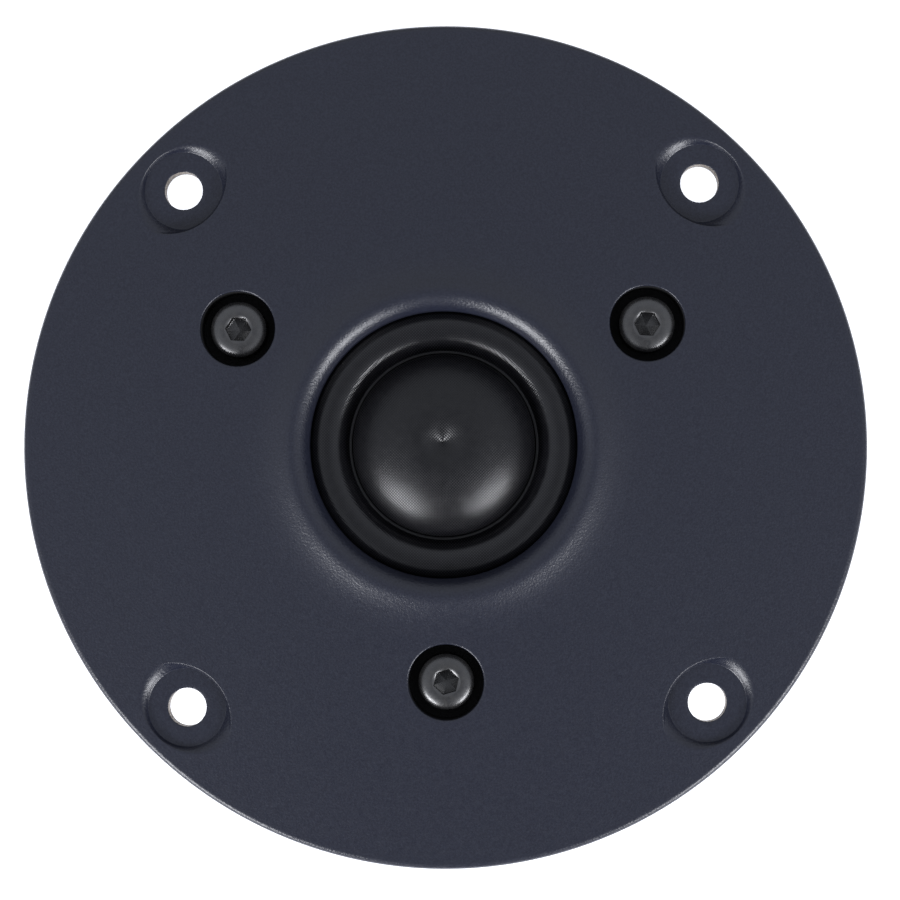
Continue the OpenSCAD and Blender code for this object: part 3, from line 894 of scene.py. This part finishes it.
HEAD_R = 3.6
HEAD_TOP = COUNTERBORE_Z + 4.0
CROWN_IN = 1.9
CROWN_R = 2.5
CROWN_TURN = math.asin((HEAD_R - CROWN_IN) / CROWN_R)
SIDE_TOP = HEAD_TOP - CROWN_R * (1 - math.cos(CROWN_TURN))
HEX_FLATS = 3.0
HEX_DEPTH = 2.0
DRILL_POINT = 0.7
HEX_CHAMFER_R = 1.85
HEX_TURN = [math.radians(a) for a in (26, -34, -14)]
KNURL_TEETH = 48
KNURL_DEPTH = 0.09
SHANK_R = 1.95
SHANK_LENGTH = 5.8
SHANK_TIP_R = 1.4
THREAD_FROM = 0.6
THREAD_TO = 5.0
THREAD_ROOT_R = 1.62
THREAD_LEAD = 0.7


def hex_radius(angle, flats):
    """Distance from the centre to the side of a hexagon that has a corner at angle 0."""
    sector = math.pi / 3
    return flats / 2 / math.cos(angle % sector - sector / 2)


def add_cap_screw(bm, x, y, turn):
    """A socket head cap screw with a knurled side, a rounded top edge and a chamfered hexagon."""
    angles = [a + turn for a in turns(3 * KNURL_TEETH)]

    # a row holds a radius and a height for each angle
    def ring(radius, z):
        return [(radius, z)] * len(angles)

    def hexagon(flats, z):
        return [(hex_radius(a - turn, flats), z) for a in angles]

    def knurl(depth, z):
        return [(HEAD_R - depth * (k % 3 != 0), z) for k in range(len(angles))]

    socket_z = HEAD_TOP - HEX_DEPTH
    rows = [hexagon(0.1, socket_z - DRILL_POINT), hexagon(HEX_FLATS * 0.86, socket_z)]
    rows.append(hexagon(HEX_FLATS, socket_z + 0.15))
    rows.append([(r, HEAD_TOP - 0.6 * max(HEX_CHAMFER_R - r, 0)) for r, _ in hexagon(HEX_FLATS, 0)])
    rows.append(ring(HEX_CHAMFER_R, HEAD_TOP))
    for r, z in arc(CROWN_IN, HEAD_TOP - CROWN_R, CROWN_R, 0, math.degrees(CROWN_TURN), 14):
        rows.append(ring(r, z))
    knurl_low, knurl_high = COUNTERBORE_Z + 0.5, SIDE_TOP - 0.1
    rows += [knurl(0, knurl_high), knurl(KNURL_DEPTH, knurl_high - 0.15)]
    rows += [knurl(KNURL_DEPTH, knurl_low + 0.15), knurl(0, knurl_low)]
    rows += [ring(HEAD_R, COUNTERBORE_Z + 0.2), ring(HEAD_R - 0.2, COUNTERBORE_Z)]
    rows.append(ring(SHANK_R, COUNTERBORE_Z))
    z = COUNTERBORE_Z - THREAD_FROM
    while z > COUNTERBORE_Z - THREAD_TO:
        rows += [ring(SHANK_R, z), ring(THREAD_ROOT_R, z - 0.3), ring(THREAD_ROOT_R, z - 0.4)]
        z -= THREAD_LEAD
    rows.append(ring(SHANK_TIP_R, COUNTERBORE_Z - SHANK_LENGTH))
    loops = [
        [(x + r * math.cos(a), y + r * math.sin(a), z) for (r, z), a in zip(row, angles)] for row in rows
    ]
    for upper, lower in zip(loops, loops[1:]):
        wall(bm, upper, lower)
    for cap in (loops[0], loops[-1]):
        bm.faces.new([bm.verts.new(Vector(p) * MM) for p in cap])


def make_clamp_screws():
    bm = bmesh.new()
    for angle, turn in zip(CLAMP_ANGLES, HEX_TURN):
        add_cap_screw(bm, *on_circle(CLAMP_R, angle), angle + turn)
    return place(finish_mesh(bm, "clamp_screw_set", sharp=32), ROOT, [BLACK], "black_steel", "clamp_screws")


make_clamp_screws()


# ---- CAD nodes that stay, with their materials ----

CARRIED = {
    "baffle_gasket": FOAM,
    "diaphragm_carrier": MOULDED,
    "locating_pins": STEEL,
    "coil_former": FOIL,
    "coil_collar": AMBER,
    "terminal_positive": TIN,
    "terminal_negative": TIN,
    "positive_washer": RED_FIBRE,
    "terminal_rivets": BRASS,
    "top_plate": ZINC,
    "magnet": FERRITE,
    "back_plate": ZINC,
    "pole_piece": STEEL,
    "copper_cap": COPPER,
    "pole_damping_ring": FELT,
    "vent_damper": FELT,
    "rear_chamber": MOULDED,
    "chamber_gasket": FOAM,
    "chamber_wadding": WADDING,
    "chamber_screws": BLACK,
}
# Edges that are broken or moulded round, with their widths in millimetres
BROKEN_EDGES = {
    "top_plate": 0.25,
    "magnet": 0.5,
    "back_plate": 0.25,
    "rear_chamber": 0.35,
    "terminal_positive": 0.08,
    "terminal_negative": 0.08,
    "diaphragm_carrier": 0.12,
    "baffle_gasket": 0.15,
}
for name, mat in CARRIED.items():
    carried = frame["nodes"][name]
    for material_slot in carried.material_slots:
        material_slot.material = mat
    if name in BROKEN_EDGES:
        bevel = carried.modifiers.new("broken_edges", "BEVEL")
        bevel.width = BROKEN_EDGES[name] * MM
        bevel.segments = 3
        bevel.limit_method = "ANGLE"
        bevel.angle_limit = math.radians(40)


# ---- Floor, light and camera ----

FLOOR_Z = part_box("rear_chamber")[0].z


def make_floor():
    bm = bmesh.new()
    bmesh.ops.create_grid(bm, x_segments=1, y_segments=1, size=2.0)
    floor = finish_mesh(bm, "floor")
    floor.location.z = FLOOR_Z

    def build(tree):
        return {"Base Color": (0.86, 0.86, 0.88)}

    glow = {"Emission_Color": (0.93, 0.95, 1.0), "Emission_Strength": 0.48}
    floor.data.materials.append(material("pale_floor", build, Roughness=0.9, **glow))


def softbox(name, azimuth, power):
    """A low softbox that faces the origin from an azimuth in degrees, hidden from the camera."""
    light = bpy.data.lights.new(name, "AREA")
    light.shape = "RECTANGLE"
    light.size, light.size_y = 0.40, 0.26
    light.energy = power
    light.color = (0.95, 0.96, 1.0)
    lamp = bpy.data.objects.new(name, light)
    bpy.context.scene.collection.objects.link(lamp)
    elevation, distance = math.radians(24), 0.75
    x, y = on_circle(math.cos(elevation), math.radians(azimuth))
    lamp.location = Vector((x, y, math.sin(elevation))) * distance
    lamp.rotation_euler = (-lamp.location).to_track_quat("-Z", "Y").to_euler()
    lamp.visible_camera = False


def make_lights():
    softbox("left_softbox", -130, 6.3)
    softbox("right_softbox", -46, 5.7)
    world = bpy.data.worlds.new("studio")
    bpy.context.scene.world = world
    world.use_nodes = True
    tree = world.node_tree
    backdrop = tree.nodes["Background"]
    backdrop.inputs["Color"].default_value = (0.86, 0.90, 1.0, 1)
    seen = tree.nodes.new("ShaderNodeLightPath").outputs["Is Camera Ray"]
    way = tree.nodes.new("ShaderNodeSeparateXYZ")
    link_or_set(tree, way.inputs[0], tree.nodes.new("ShaderNodeTexCoord").outputs["Generated"])
    # the room is dark near the horizon and between the softboxes, and a little darker overhead
    forward = math_node(tree, "MULTIPLY", way.outputs["Y"], -1.0)
    turn = math_node(tree, "ABSOLUTE", math_node(tree, "ARCTAN2", way.outputs["X"], forward))
    between = spread(tree, turn, 0.25, 1.0, 0.16, 0.5)
    low = spread(tree, way.outputs["Z"], 0.18, 0.80, 0.18, 0.38)
    overhead = spread(tree, way.outputs["Z"], 1.0, 0.64, 0.80, 1.0)
    room = math_node(tree, "MULTIPLY", math_node(tree, "MULTIPLY", low, overhead), between)
    link_or_set(tree, backdrop.inputs["Strength"], spread(tree, seen, room, 1.0, 0, 1))


def make_camera():
    """Above the dome and a little towards the lower right."""
    lean, heading, roll = math.radians(2.5), math.radians(-56), math.radians(0.63)
    distance, frame_width = 0.30, 0.11748
    target = Vector((0, 0, 0.002))
    toward = Vector((*on_circle(math.sin(lean), heading), math.cos(lean)))
    up = Vector((math.sin(roll), math.cos(roll), 0))
    right = up.cross(toward).normalized()
    up = toward.cross(right)
    data = bpy.data.cameras.new("camera")
    data.sensor_width = 36
    data.lens = data.sensor_width * distance / frame_width
    data.shift_x, data.shift_y = 0.0069, -0.0056
    data.clip_start = 0.01
    camera = bpy.data.objects.new("camera", data)
    bpy.context.scene.collection.objects.link(camera)
    turned = Matrix((right, up, toward)).transposed().to_4x4()
    camera.matrix_world = Matrix.Translation(target + toward * distance) @ turned
    bpy.context.scene.camera = camera


make_floor()
make_lights()
make_camera()
bpy.context.scene.view_settings.view_transform = "Standard"
